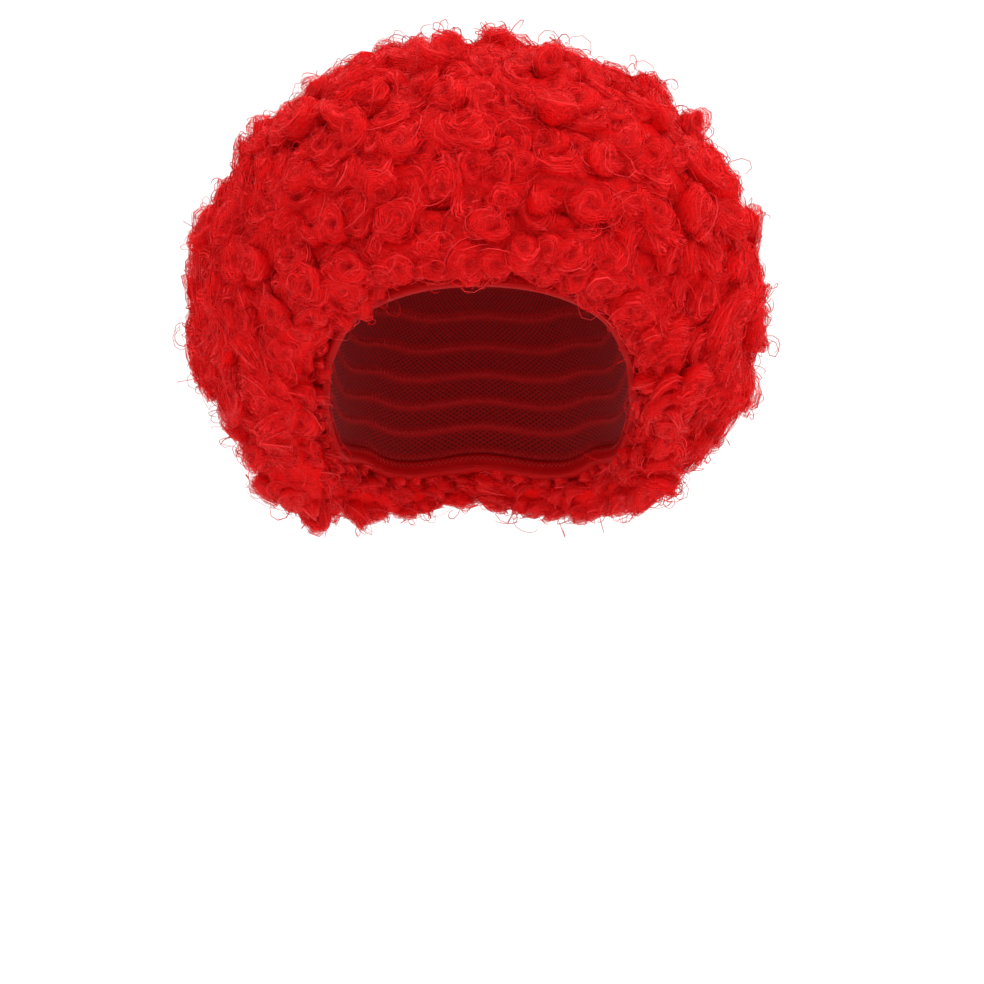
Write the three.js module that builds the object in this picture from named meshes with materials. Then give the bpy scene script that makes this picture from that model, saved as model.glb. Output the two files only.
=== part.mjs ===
// Curly costume wig: a hollow stretch cap with a folded hem band, and rings of curly locks sewn round it.
// Millimetres and degrees. +Z is up and the wearer faces -Y. The origin is the top of the hollow, where the wig
// sits on the head.
import * as THREE from 'three';
import { ParametricGeometry } from 'three/addons/geometries/ParametricGeometry.js';

// The hollow, as half sizes of a rounded head form about its centre, which lies one rise below the origin
const HEAD = { halfWidth: 75, halfLength: 94, rise: 90, drop: 110, fullness: 2.25 };

// The cloth, and the gap that is left between neighbouring pieces
const CAP_WALL = 1.6;
const BAND_WALL = 1.2;
const BAND_FLAP = 7;
const BAND_CLEAR = 2; // bare cap above the band, which drooping hair hangs over
const SEAM_GAP = 0.4;

// The wefts run round an axis that leans back from the vertical, so that the hem lies nearly square to it
const AXIS_LEAN = 32;
const RING_COLUMNS = 48;

// The hem line, on one side of the head and mirrored on the other: its angle from the crown axis, and how far a
// lock there hangs down for each millimetre that it stands out. HANG_FADE carries less of it to the wefts above
const HEM = [
  { at: 'forehead', azimuth: 0, angle: 102, hang: 0.35 },
  { at: 'brow corner', azimuth: 41, angle: 102, hang: 0.32 },
  { at: 'temple', azimuth: 64, angle: 105, hang: 0.32 },
  { at: 'ear tab', azimuth: 80, angle: 111, hang: 0.45 },
  { at: 'ear', azimuth: 103, angle: 105, hang: 0.75 },
  { at: 'behind ear', azimuth: 120, angle: 106, hang: 0.85 },
  { at: 'neck side', azimuth: 145, angle: 96, hang: 0.65 },
  { at: 'nape', azimuth: 180, angle: 88, hang: 0.45 },
];
const HANG_FADE = 6;

// The wefts from the crown down: where each ends, as a share of the way from the crown axis to the hem band, its
// number of locks, and its hair length at the front, left, right and back of the head
const WEFTS = [
  { name: 'curls_crown', ends: 0.115, locks: 5, front: 61, left: 61, right: 61, back: 60 },
  { name: 'curls_row_1', ends: 0.24, locks: 9, front: 61, left: 62, right: 63, back: 59 },
  { name: 'curls_row_2', ends: 0.365, locks: 13, front: 61, left: 64, right: 68, back: 57 },
  { name: 'curls_row_3', ends: 0.49, locks: 16, front: 61, left: 65, right: 69, back: 56 },
  { name: 'curls_row_4', ends: 0.605, locks: 19, front: 60, left: 66, right: 66, back: 55 },
  { name: 'curls_row_5', ends: 0.71, locks: 22, front: 57, left: 68, right: 64, back: 53 },
  { name: 'curls_row_6', ends: 0.81, locks: 22, front: 50, left: 64, right: 60, back: 48 },
  { name: 'curls_row_7', ends: 0.905, locks: 22, front: 41, left: 54, right: 50, back: 41 },
  { name: 'curls_row_8', ends: 1, locks: 22, front: 28, left: 39, right: 28, back: 31 },
];

// A lock's section from its upper root over its tip to its lower root: across is a share of the row's half width,
// and out a share of the hair length
const LOCK_SECTION = [
  { at: 'upper root', across: -1, out: 0 },
  { at: 'upper flank', across: -0.95, out: 0.76 },
  { at: 'upper shoulder', across: -0.78, out: 0.94 },
  { at: 'tip', across: 0, out: 1 },
  { at: 'lower shoulder', across: 0.78, out: 0.94 },
  { at: 'lower flank', across: 0.95, out: 0.76 },
  { at: 'lower root', across: 1, out: 0 },
];
const TIP = LOCK_SECTION.findIndex((corner) => corner.at === 'tip');
const COLUMNS_PER_LOCK = 4;
const VALLEY_OUT = 0.84; // hair length between two locks, as a share of that at their tips
const UNEVEN_LENGTH = 0.07; // most that a lock is longer or shorter than its row says
const UNEVEN_LEAN = 0.14; // most that a tip leans up or down, as a share of the row's half width
const LEANS_FROM = 0.9; // share of the hair length from which a lock leans
const GOLDEN_SHARE = 0.618034; // spreads the locks' differences evenly

const { degToRad, radToDeg, smoothstep, lerp } = THREE.MathUtils;
const CENTRE = new THREE.Vector3(0, 0, -HEAD.rise);
const LEAN = degToRad(AXIS_LEAN);
const CROWN_AXIS = new THREE.Vector3(0, Math.sin(LEAN), Math.cos(LEAN));
const AHEAD = new THREE.Vector3(0, -Math.cos(LEAN), Math.sin(LEAN));
const RIGHT = new THREE.Vector3(1, 0, 0);

// Direction from the centre at an angle from the crown axis, turned from the front towards the right
function direction(angle, azimuth) {
  const turn = degToRad(azimuth);
  const fall = degToRad(angle);
  return new THREE.Vector3()
    .addScaledVector(AHEAD, Math.cos(turn) * Math.sin(fall))
    .addScaledVector(RIGHT, Math.sin(turn) * Math.sin(fall))
    .addScaledVector(CROWN_AXIS, Math.cos(fall));
}

// How far the head form reaches from its centre along a direction
function headRadius(way) {
  const half = [HEAD.halfWidth, HEAD.halfLength, way.z > 0 ? HEAD.rise : HEAD.drop];
  const sum = half.reduce((total, size, i) => total + Math.abs(way.getComponent(i) / size) ** HEAD.fullness, 0);
  return sum ** (-1 / HEAD.fullness);
}

// A point that stands off the head form by the given distance
function offHead(angle, azimuth, distance) {
  const way = direction(angle, azimuth);
  return way.multiplyScalar(headRadius(way) + distance).add(CENTRE);
}

// The angle that a short way along the head form takes up at the hem
function angleAlong(length, azimuth) {
  return radToDeg(length / headRadius(direction(hemValue(azimuth, 'angle'), azimuth)));
}

// A column of the hem table at any azimuth, eased between its lines
function hemValue(azimuth, column) {
  const turned = Math.abs(THREE.MathUtils.euclideanModulo(azimuth + 180, 360) - 180);
  const next = Math.max(1, HEM.findIndex((line) => line.azimuth >= turned));
  const share = smoothstep(turned, HEM[next - 1].azimuth, HEM[next].azimuth);
  return lerp(HEM[next - 1][column], HEM[next][column], share);
}

// The angle from the crown axis at a share of the way to the hem band
function weftAngle(share, azimuth) {
  return share * (hemValue(azimuth, 'angle') - angleAlong(BAND_FLAP + BAND_CLEAR, azimuth));
}

// A point in the hair, rooted at a share of the way to the hem band. Hair stands straight out from its root, and
// in the lower wefts also hangs down
function hairPoint(share, azimuth, length) {
  const angle = weftAngle(share, azimuth);
  const hang = hemValue(azimuth, 'hang') * share ** HANG_FADE * length;
  const down = direction(angle + 90, azimuth);
  return offHead(angle, azimuth, CAP_WALL + SEAM_GAP + length).addScaledVector(down, hang);
}

// A weft's hair length at any azimuth, from its lengths at the front, left, right and back
function hairLength(weft, azimuth) {
  const ahead = Math.cos(degToRad(azimuth));
  const across = Math.sin(degToRad(azimuth));
  const lengthwise = ahead > 0 ? weft.front : weft.back;
  const sideways = across > 0 ? weft.right : weft.left;
  return lengthwise * ahead ** 2 + sideways * across ** 2;
}

// A lock's own difference from its neighbours, from -1 to 1
function unevenness(row, lock) {
  return 2 * ((GOLDEN_SHARE * (lock + 1) * (row + 2)) % 1) - 1;
}

// A closed skin swept round the crown axis. place gives a corner of the section at a column, and a section that
// doesn't close on itself has its first and last corners on the axis
function sweptSkin(corners, columns, closed, place) {
  const steps = closed ? corners : corners - 1;
  const point = (u, v, target) => {
    const corner = Math.round(u * steps) % corners;
    const column = Math.round(v * columns) % columns;
    target.copy(place(corner, column));
  };
  return new ParametricGeometry(point, steps, columns);
}

// A column of a weft: its azimuth, its hair length and the lean of its tip. A lock swells from the valley beside it
// to its middle
function lockColumn(row, column) {
  const weft = WEFTS[row];
  const lock = Math.floor(column / COLUMNS_PER_LOCK);
  const swell = Math.sin((Math.PI * (column % COLUMNS_PER_LOCK)) / COLUMNS_PER_LOCK);
  const own = unevenness(row, lock) * swell;
  const stagger = row / 2;
  const azimuth = 360 * ((column / COLUMNS_PER_LOCK + stagger) / weft.locks);
  const length = hairLength(weft, azimuth) * lerp(VALLEY_OUT, 1, swell) * (1 + UNEVEN_LENGTH * own);
  return { azimuth, length, lean: UNEVEN_LEAN * unevenness(row + 1, lock) * swell };
}

// A corner of a lock, between the shares of the way to the hem where its row starts and ends
function lockPoint(starts, ends, corner, column) {
  const { across, out } = LOCK_SECTION[corner];
  const seam = angleAlong(SEAM_GAP, column.azimuth) / weftAngle(1, column.azimuth);
  const halfWidth = (ends - starts - seam) / 2;
  const lean = out > LEANS_FROM ? column.lean : 0;
  return hairPoint((starts + ends) / 2 + (across + lean) * halfWidth, column.azimuth, column.length * out);
}

// The tuft at the crown: half a lock's section turned about the crown axis, with its locks round it
function crownTuft() {
  const weft = WEFTS[0];
  const corners = [...LOCK_SECTION.slice(TIP), { at: 'middle of the root', across: 0, out: 0 }];
  const place = (corner, columnNumber) => {
    const { across, out } = corners[corner];
    if (across === 0) return hairPoint(0, 0, weft.front * out);
    const column = lockColumn(0, columnNumber);
    const seam = angleAlong(SEAM_GAP, column.azimuth) / weftAngle(1, column.azimuth);
    return hairPoint(across * (weft.ends - seam / 2), column.azimuth, column.length * out);
  };
  return sweptSkin(corners.length, weft.locks * COLUMNS_PER_LOCK, false, place);
}

// A weft: a ring of locks fused at their roots
function weftRing(row) {
  const place = (corner, column) =>
    lockPoint(WEFTS[row - 1].ends, WEFTS[row].ends, corner, lockColumn(row, column));
  return sweptSkin(LOCK_SECTION.length, WEFTS[row].locks * COLUMNS_PER_LOCK, true, place);
}

// The cap: a wall from the crown to the hem, with a ring of corners under each seam between two wefts
function capWall() {
  const rings = WEFTS.length + 2; // one for each weft's end, the crown and the hem
  const place = (corner, column) => {
    const inside = corner >= rings;
    const ring = inside ? 2 * rings - 1 - corner : corner;
    const azimuth = (360 * column) / RING_COLUMNS;
    const share = ring === 0 ? 0 : WEFTS[Math.min(ring, WEFTS.length) - 1].ends;
    const angle = ring === rings - 1 ? hemValue(azimuth, 'angle') : weftAngle(share, azimuth);
    return offHead(angle, ring === 0 ? 0 : azimuth, inside ? 0 : CAP_WALL);
  };
  return sweptSkin(2 * rings, RING_COLUMNS, false, place);
}

// The hem band: folded over the cap's edge, with a flap inside and a flap outside
function foldedBand() {
  const slotOut = CAP_WALL + SEAM_GAP;
  const faceOut = slotOut + BAND_WALL;
  const slotIn = -SEAM_GAP;
  const faceIn = slotIn - BAND_WALL;
  const fold = SEAM_GAP + BAND_WALL;
  const section = [
    { along: -BAND_FLAP, off: faceOut },
    { along: fold, off: faceOut },
    { along: fold, off: faceIn },
    { along: -BAND_FLAP, off: faceIn },
    { along: -BAND_FLAP, off: slotIn },
    { along: SEAM_GAP, off: slotIn },
    { along: SEAM_GAP, off: slotOut },
    { along: -BAND_FLAP, off: slotOut },
  ];
  const place = (corner, column) => {
    const { along, off } = section[corner];
    const azimuth = (360 * column) / RING_COLUMNS;
    return offHead(hemValue(azimuth, 'angle') + angleAlong(along, azimuth), azimuth, off);
  };
  return sweptSkin(section.length, RING_COLUMNS, true, place);
}

const HAIR = new THREE.MeshStandardMaterial({ color: 0xc8141a, roughness: 0.55, metalness: 0 });
const NET = new THREE.MeshStandardMaterial({ color: 0x9c0d12, roughness: 0.85, metalness: 0 });
const ELASTIC = new THREE.MeshStandardMaterial({ color: 0xa80c10, roughness: 0.6, metalness: 0 });

function piece(name, geometry, material) {
  const mesh = new THREE.Mesh(geometry, material);
  mesh.name = name;
  return mesh;
}

const wig = new THREE.Group();
wig.add(piece('wig_cap', capWall(), NET));
wig.add(piece('hem_band', foldedBand(), ELASTIC));
wig.add(piece(WEFTS[0].name, crownTuft(), HAIR));
for (let row = 1; row < WEFTS.length; row += 1) wig.add(piece(WEFTS[row].name, weftRing(row), HAIR));

export default wig;
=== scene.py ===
# Curly costume wig: springy curls on a net cap with a folded hem band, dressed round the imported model
import bpy
import numpy as np
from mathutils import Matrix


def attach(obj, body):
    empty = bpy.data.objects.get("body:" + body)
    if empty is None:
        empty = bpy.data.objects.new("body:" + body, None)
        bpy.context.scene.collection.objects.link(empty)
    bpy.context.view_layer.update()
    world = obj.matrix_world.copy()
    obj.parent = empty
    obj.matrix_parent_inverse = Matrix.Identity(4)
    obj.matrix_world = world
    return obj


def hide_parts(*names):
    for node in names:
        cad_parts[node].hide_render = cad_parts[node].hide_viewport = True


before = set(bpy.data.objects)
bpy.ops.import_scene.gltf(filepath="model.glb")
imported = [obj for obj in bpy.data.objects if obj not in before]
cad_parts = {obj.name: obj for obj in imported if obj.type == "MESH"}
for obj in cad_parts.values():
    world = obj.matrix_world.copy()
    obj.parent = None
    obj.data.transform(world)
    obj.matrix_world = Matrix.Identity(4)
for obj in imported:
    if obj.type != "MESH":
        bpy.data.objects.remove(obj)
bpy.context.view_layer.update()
mm = 0.001  # lengths below are in millimetres, angles in degrees
fullTurn = 2 * np.pi
uvName = "OFBake"  # every piece's own map
scene = bpy.context.scene

# the hollow that the cap is shaped to, and the walls on it
hollowForm = {
    "halfWidth": 75, "halfLength": 94, "rise": 90, "drop": 110,  # half sizes about the centre
    "fullness": 2.25,  # exponent of the rounded sections
    "axisLean": 32,  # the crown axis leans back
    "capWall": 1.6, "bandFlap": 7, "bandClear": 2, "seamGap": 0.4,
}

# the hem on one side: azimuth from the front, angle from the crown axis, fall of the hair per mm
hemLine = {
    "azimuth": [0, 41, 64, 80, 103, 120, 145, 180],
    "angle": [102, 102, 105, 111, 105, 106, 96, 88],
    "hang": [0.35, 0.32, 0.32, 0.45, 0.75, 0.85, 0.65, 0.45],
    "hangFade": 6,
    "sideTurn": (22, 25),  # where the sides begin, and over how many degrees
}

# the wefts from the crown down: where each ends on the way to the hem band, and its hair lengths
weftTable = {
    "node": ["curls_crown"] + [f"curls_row_{row}" for row in range(1, 9)],
    "ends": [0.115, 0.24, 0.365, 0.49, 0.605, 0.71, 0.81, 0.905, 1],
    "front": [61, 61, 61, 61, 60, 57, 50, 41, 28],
    "left": [61, 62, 64, 65, 66, 68, 64, 54, 39],
    "right": [61, 63, 68, 69, 66, 64, 60, 50, 28],
    "back": [60, 59, 57, 56, 55, 53, 48, 41, 31],
}
weftEnds = np.array(weftTable["ends"])
weftStarts = np.concatenate([[0], weftEnds[:-1]])
lastWeft = len(weftEnds) - 1
hollowCentre = np.array([0, 0, -hollowForm["rise"]])
lean = np.radians(hollowForm["axisLean"])
crownAxis = np.array([0, np.sin(lean), np.cos(lean)])
aheadWay = np.array([0, -np.cos(lean), np.sin(lean)])
rightWay = np.array([1.0, 0, 0])
roundTurn = np.linspace(0, 360, 721)  # azimuths at which the length of a ring is measured


# unit vectors: each vector over its own length
def unit(vectors):
    return vectors / np.maximum(np.linalg.norm(vectors, axis=-1, keepdims=True), 1e-9)


# ease from 0 to 1: three squares less two cubes of the clipped share
def ease(share):
    share = np.clip(share, 0, 1)
    return share * share * (3 - 2 * share)


# length run up to each point of a path: the sum of the steps before it
def runLength(path):
    return np.concatenate([[0], np.cumsum(np.linalg.norm(np.diff(path, axis=0), axis=1))])


# direction from the hollow's centre: the crown axis tipped forward by the angle, then turned by the azimuth
def direction(angle, azimuth):
    fall, turn = np.broadcast_arrays(np.radians(angle), np.radians(azimuth))
    ahead = (np.sin(fall) * np.cos(turn))[..., None] * aheadWay
    across = (np.sin(fall) * np.sin(turn))[..., None] * rightWay
    return ahead + across + np.cos(fall)[..., None] * crownAxis


# reach of the hollow: the sum of the powers of each part over its half size, to minus one over the power
def hollowReach(way):
    up = np.where(way[..., 2] > 0, hollowForm["rise"], hollowForm["drop"])
    across = np.full_like(up, hollowForm["halfWidth"])
    along = np.full_like(up, hollowForm["halfLength"])
    power = hollowForm["fullness"]
    return (np.abs(way / np.stack([across, along, up], -1)) ** power).sum(-1) ** (-1 / power)


# a point off the hollow: the centre, plus the direction times its reach and the distance
def offHollow(angle, azimuth, distance):
    way = direction(angle, azimuth)
    return hollowCentre + way * (hollowReach(way) + distance)[..., None]


# azimuth from the front on either side: wrapped to half a turn, without its sign
def fromFront(azimuth):
    return np.abs((np.asarray(azimuth) + 180) % 360 - 180)


# share of the way from the front to the sides: the azimuth past the start of the turn over its width, eased
def sideShare(azimuth):
    start, width = hemLine["sideTurn"]
    return ease((fromFront(azimuth) - start) / width)


# a column of the hem line at any azimuth, mirrored and eased between its lines
def hemValue(azimuth, column):
    turned = fromFront(azimuth)
    stops, values = np.array(hemLine["azimuth"]), np.array(hemLine[column])
    after = np.clip(np.searchsorted(stops, turned), 1, len(stops) - 1)
    share = ease((turned - stops[after - 1]) / (stops[after] - stops[after - 1]))
    return values[after - 1] + (values[after] - values[after - 1]) * share


# a short way along the hollow at the hem as an angle: the length over the reach there
def angleAlong(length, azimuth):
    return np.degrees(length / hollowReach(direction(hemValue(azimuth, "angle"), azimuth)))


# angle at a share of the way from the crown axis to the hair's edge above the band
def weftAngle(share, azimuth):
    bare = angleAlong(hollowForm["bandFlap"] + hollowForm["bandClear"], azimuth)
    return share * (hemValue(azimuth, "angle") - bare)


# the way hair grows: straight out, plus the hem's fall faded up the cap by a power of the share
def growWay(share, azimuth):
    angle = weftAngle(share, azimuth)
    fall = hemValue(azimuth, "hang") * share ** hemLine["hangFade"]
    return direction(angle, azimuth) + fall[..., None] * direction(angle + 90, azimuth)


# a point in the hair: its root on the cap, plus the way it grows times its length
def hairPoint(share, azimuth, length):
    root = offHollow(weftAngle(share, azimuth), azimuth, hollowForm["capWall"] + hollowForm["seamGap"])
    return root + growWay(share, azimuth) * np.asarray(length)[..., None]


# hair length: the weft table at the share, front or back by the cosine squared, sides by the sine squared
def hairLength(share, azimuth):
    middles = (weftStarts + weftEnds) / 2
    side = lambda name: np.interp(share, middles, weftTable[name])
    ahead, across = np.cos(np.radians(azimuth)), np.sin(np.radians(azimuth))
    lengthwise = np.where(ahead > 0, side("front"), side("back"))
    sideways = np.where(across > 0, side("right"), side("left"))
    return lengthwise * ahead**2 + sideways * across**2


# a mesh from whole arrays: points in millimetres, blocks of faces with as many corners each, UV for each
# corner, and for each block whether it is shaded smooth
def addMesh(name, points, faceBlocks, uvBlocks, material, smooth=None):
    mesh = bpy.data.meshes.new(name)
    corners = np.concatenate([block.ravel() for block in faceBlocks]).astype(np.int32)
    counts = np.concatenate([np.full(len(block), block.shape[1]) for block in faceBlocks])
    mesh.vertices.add(len(points))
    mesh.vertices.foreach_set("co", (points * mm).astype(np.float32).ravel())
    mesh.loops.add(len(corners))
    mesh.loops.foreach_set("vertex_index", corners)
    mesh.polygons.add(len(counts))
    mesh.polygons.foreach_set("loop_start", np.concatenate([[0], np.cumsum(counts)[:-1]]).astype(np.int32))
    mesh.update(calc_edges=True)
    layer = mesh.uv_layers.new(name=uvName)
    uv = np.concatenate([block.reshape(-1, 2) for block in uvBlocks]).astype(np.float32)
    layer.uv.foreach_set("vector", uv.ravel())
    flags = smooth or [True] * len(faceBlocks)
    mesh.polygons.foreach_set("use_smooth", np.repeat(flags, [len(block) for block in faceBlocks]))
    mesh.materials.append(material)
    piece = bpy.data.objects.new(name, mesh)
    scene.collection.objects.link(piece)
    print(f"{name}: {int((counts - 2).sum())} triangles")
    return piece


# faces of a grid of rows by columns that wraps round its columns, and round its rows too if closed
def gridFaces(rows, columns, closed):
    index = np.arange(rows * columns).reshape(rows, columns)
    below = np.roll(index, -1, 0) if closed else index[1:]
    upper = index if closed else index[:-1]
    quads = np.stack([upper, below, np.roll(below, -1, 1), np.roll(upper, -1, 1)], -1).reshape(-1, 4)
    row, column = np.meshgrid(np.arange(len(upper)), np.arange(columns), indexing="ij")
    v = np.stack([row, row + 1, row + 1, row], -1) / len(upper)
    u = np.stack([column, column, column + 1, column + 1], -1) / columns
    return quads, np.stack([u, v], -1).reshape(-1, 4, 2)


# faces of one closed tube: a pole, rings of corners and a pole, with u round the tube and v along it
def tubeFaces(steps, sides):
    ring = np.arange((steps - 2) * sides).reshape(steps - 2, sides) + 1
    turned = np.roll(ring, -1, 1)
    end = np.full(sides, (steps - 2) * sides + 1)
    quads = np.stack([ring[:-1], turned[:-1], turned[1:], ring[1:]], -1).reshape(-1, 4)
    caps = [np.stack([end * 0, turned[0], ring[0]], -1), np.stack([end, ring[-1], turned[-1]], -1)]
    row, side = np.meshgrid(np.arange(1, steps - 2), np.arange(sides), indexing="ij")
    quadUv = np.stack([
        np.stack([side, side + 1, side + 1, side], -1) / sides,
        np.stack([row, row, row + 1, row + 1], -1) / (steps - 1),
    ], -1).reshape(-1, 4, 2)
    side = np.arange(sides)
    firstUv = np.stack([side + 0.5, side + 1, side], -1) / sides
    lastUv = np.stack([side + 0.5, side, side + 1], -1) / sides
    rise = np.array([0, 1, 1]) / (steps - 1) + 0 * firstUv
    capUv = np.concatenate([np.stack([firstUv, rise], -1), np.stack([lastUv, 1 - rise], -1)])
    return quads, np.concatenate(caps), quadUv, capUv


# many copies of a closed tube: corners counted on from copy to copy, UV scaled and then shifted for each
def tubeCopies(points, faces, uvScale, uvShift, smooth):
    quads, caps, quadUv, capUv = faces
    offset = (np.arange(len(points)) * points.shape[1])[:, None, None]
    shift = uvShift[:, None, None]
    return {
        "points": points.reshape(-1, 3), "smooth": smooth,
        "quads": (quads + offset).reshape(-1, 4),
        "caps": (caps + offset).reshape(-1, 3),
        "quadUv": (quadUv * uvScale + shift).reshape(-1, 4, 2),
        "capUv": (capUv * uvScale + shift).reshape(-1, 3, 2),
    }


# closed shells of rings between two poles: copies of one tube, shaded smooth
def shells(points, rings, sides, uvScale, uvShift):
    return tubeCopies(points, tubeFaces(rings + 2, sides), uvScale, uvShift, True)


# many strands: each path's points, pushed out round the path by its radius across and along the reference
def strands(paths, reference, across, along, sides, tint, tintWidth):
    count, steps = paths.shape[:2]
    tangent = unit(np.gradient(paths, axis=1))
    side = unit(np.cross(tangent, reference))
    up = np.cross(tangent, side)
    turn = fullTurn * np.arange(sides) / sides
    rim = (across[..., None] * np.cos(turn))[..., None] * side[:, :, None]
    rim = rim + (along[..., None] * np.sin(turn))[..., None] * up[:, :, None]
    rings = (paths[:, :, None] + rim)[:, 1:-1].reshape(count, -1, 3)
    points = np.concatenate([paths[:, :1], rings, paths[:, -1:]], 1)
    quads, caps, quadUv, capUv = tubeFaces(steps, sides)
    faces = (quads, caps, quadUv[..., ::-1], capUv[..., ::-1])
    return tubeCopies(points, faces, np.array([1, tintWidth]), np.stack([0 * tint, tint], -1), False)


# a part that closes on itself both ways, so it has no caps
def closedGrid(points, quads, uv):
    return {
        "points": points.reshape(-1, 3), "smooth": True, "quads": quads, "quadUv": uv,
        "caps": np.zeros((0, 3), int), "capUv": np.zeros((0, 3, 2)),
    }


# several parts as one mesh, with each part's corners counted on from the one before
def addParts(name, parts, material):
    starts = np.concatenate([[0], np.cumsum([len(part["points"]) for part in parts])[:-1]])
    faces = [part[kind] + start for kind in ("quads", "caps") for part, start in zip(parts, starts)]
    uv = [part[kind] for kind in ("quadUv", "capUv") for part in parts]
    smooth = [part["smooth"] for kind in ("quads", "caps") for part in parts]
    return addMesh(name, np.concatenate([part["points"] for part in parts]), faces, uv, material, smooth)


# shader maths: a socket on which each operator adds one Math node
class Wire:
    def __init__(self, shader, socket):
        self.shader = shader
        self.socket = socket

    def __add__(self, other):
        return self.shader.maths("ADD", self, other)

    def __radd__(self, other):
        return self.shader.maths("ADD", other, self)

    def __sub__(self, other):
        return self.shader.maths("SUBTRACT", self, other)

    def __rsub__(self, other):
        return self.shader.maths("SUBTRACT", other, self)

    def __mul__(self, other):
        return self.shader.maths("MULTIPLY", self, other)

    def __rmul__(self, other):
        return self.shader.maths("MULTIPLY", other, self)


# a material whose nodes all come from one method: settings first, then the values or links of the sockets
class Shader:
    def __init__(self, name):
        self.material = bpy.data.materials.new(name)
        self.material.use_nodes = True
        self.tree = self.material.node_tree
        self.tree.nodes.clear()

    def node(self, kind, settings, sockets, out=0):
        made = self.tree.nodes.new(kind)
        for key, value in settings.items():
            if key == "stops":
                self.setStops(made.color_ramp, value)
            else:
                setattr(made, key, value)
        for key, value in sockets.items():
            if isinstance(value, Wire):
                self.tree.links.new(value.socket, made.inputs[key])
            else:
                made.inputs[key].default_value = value
        return Wire(self, made.outputs[out]) if made.outputs else None

    def setStops(self, ramp, stops):  # a place and a colour for each stop
        while len(ramp.elements) < len(stops):
            ramp.elements.new(1)
        for element, (place, colour) in zip(ramp.elements, stops):
            element.position = place
            element.color = (*colour, 1)

    def maths(self, operation, first, second=0.0):  # one Math node
        return self.node("ShaderNodeMath", {"operation": operation}, {0: first, 1: second})

    def step(self, place, width, value):  # 1 below the place, 0 above it, eased over the width
        sockets = {"Value": value, 1: place - width, 2: place + width, 3: 1.0, 4: 0.0}
        return self.node("ShaderNodeMapRange", {"interpolation_type": "SMOOTHSTEP"}, sockets)

    def ripple(self, turns):  # the sine of a number of turns, moved and halved to run from 0 to 1
        return self.maths("SINE", turns * fullTurn) * 0.5 + 0.5

    def uv(self):  # the piece's own map
        return self.node("ShaderNodeUVMap", {"uv_map": uvName}, {})

    def split(self, vector):  # the three parts of a vector or colour
        return [self.node("ShaderNodeSeparateXYZ", {}, {0: vector}, axis) for axis in range(3)]

    def join(self, *parts):  # a vector of three parts
        return self.node("ShaderNodeCombineXYZ", {}, dict(enumerate(parts)))

    def scaled(self, vector, scale):  # a vector times a scale for each part
        return self.node("ShaderNodeVectorMath", {"operation": "MULTIPLY"}, {0: vector, 1: scale})

    def noise(self, vector, scale, detail=2.0, out=0):  # soft noise, as a value or as a colour
        return self.node("ShaderNodeTexNoise", {}, {"Vector": vector, "Scale": scale, "Detail": detail}, out)

    def ramp(self, stops, place):  # the colour of the stops at a place
        return self.node("ShaderNodeValToRGB", {"stops": stops}, {0: place})

    def mix(self, factor, first, second):  # from the first colour to the second by the factor
        return self.node("ShaderNodeMix", {"data_type": "RGBA"}, {0: factor, 6: first, 7: second}, 2)

    def levelled(self, colour, level):  # a colour times one level in all its parts
        grey = self.node("ShaderNodeCombineColor", {}, {0: level, 1: level, 2: level})
        settings = {"data_type": "RGBA", "blend_type": "MULTIPLY"}
        return self.node("ShaderNodeMix", settings, {0: 1.0, 6: colour, 7: grey}, 2)

    def bump(self, height, strength, distance):  # a normal tipped by the slope of the height
        sockets = {"Strength": strength, "Distance": distance * mm, "Height": height}
        return self.node("ShaderNodeBump", {}, sockets)

    def finish(self, sockets):  # the surface, linked to the output
        surface = self.node("ShaderNodeBsdfPrincipled", {}, sockets)
        self.node("ShaderNodeOutputMaterial", {}, {"Surface": surface})
        return self.material


# curly fibre: V below split runs over a curl from its root to its middle, V above it is the tint of a strand
hairFinish = {
    "split": 0.68, "splitClear": 0.98,  # and how much of the part below it the curls use
    # painted light: the stops are lighter towards the roots, where the curls shade each other, and darker over
    # the crest that the lamps light most, which evens out the shading; dark at the middle of a curl, and
    # darker just above the split, where the frizz takes its tone; the top stops are a pinkish painted sheen
    "stops": [
        (0.0, (0.86, 0.0018, 0.0023)), (0.14, (0.82, 0.0023, 0.0030)), (0.32, (0.77, 0.0034, 0.0041)),
        (0.54, (0.72, 0.0038, 0.0048)), (0.66, (0.50, 0.0014, 0.0019)),
        (0.69, (0.36, 0.0012, 0.0017)), (0.76, (0.68, 0.0054, 0.0066)), (1.0, (0.83, 0.043, 0.048)),
    ],
    "variants": 8, "tintSwing": 0.18,  # tints from curl to curl
    "fibres": [(24, 2, 11, 0.6), (57, 3, 16, 1.0)],  # fibres across a curl, turns, wander and strength
    "wanderScale": 0.9, "wanderPace": 9,  # noise that pushes the fibres about, and its pace along a curl
    "breakScale": 2.4, "breakEach": 0.03,  # noise that breaks them up, finer where there are more
    "apart": (3.7, 1.9, 2.3),  # how far the noise of one variant lies from the next
    "fibreDepth": 0.20, "roughness": 0.62, "gloss": 0.07, "relief": 0.4, "reliefShare": 0.8,
}


# where a curl's noise is read: on a circle by the turns, risen along the curl, moved on for each variant
def noiseSpot(shader, turns, which, across, pace):
    angle = turns * fullTurn
    apart = [which * step for step in hairFinish["apart"]]
    cosine, sine = shader.maths("COSINE", angle), shader.maths("SINE", angle)
    return shader.join(cosine + apart[0], sine + apart[1], across * pace + apart[2])


# a wound fibre: the sine of its place across the curl and its turns about it, pushed about by slow noise
def woundFibre(shader, across, turns, count, wound, push):
    return shader.maths("SINE", (across * count + turns * wound) * fullTurn + push)
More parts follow.
